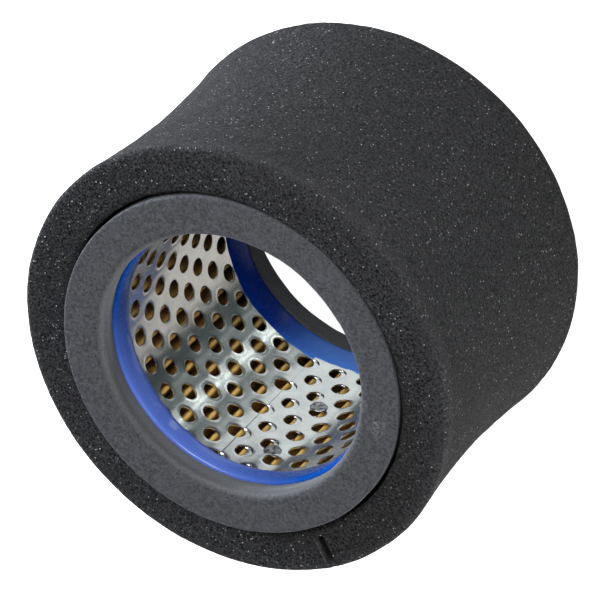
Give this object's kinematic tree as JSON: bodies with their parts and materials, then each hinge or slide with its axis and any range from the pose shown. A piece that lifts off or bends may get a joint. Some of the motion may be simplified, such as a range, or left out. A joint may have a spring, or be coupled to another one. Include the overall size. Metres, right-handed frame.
{
  "type": "small engine air filter",
  "caption": "Cylindrical air filter element: pleated paper round a perforated metal core, moulded end rings with foam gaskets, and a waisted foam sleeve outside.",
  "frame": {"origin": "centre of the rear gasket's sealing face, on which the element stands", "axes": "+Z along the bore, from the rear gasket to the front gasket"},
  "size_m": [0.0788, 0.0788, 0.0548],
  "materials": {
    "foam": "matte open-cell foam",
    "gasket": "matte foam rubber",
    "end_ring": "soft gloss moulding",
    "core": "tin-plated, bright",
    "paper": "matte resin-treated paper"
  },
  "bodies": {
    "root": {"foam_prefilter_sleeve": "foam", "front_gasket": "gasket", "rear_gasket": "gasket", "front_end_cap": "end_ring", "rear_end_cap": "end_ring", "perforated_core": "core", "pleated_paper": "paper"}
  },
  "joints": []
}
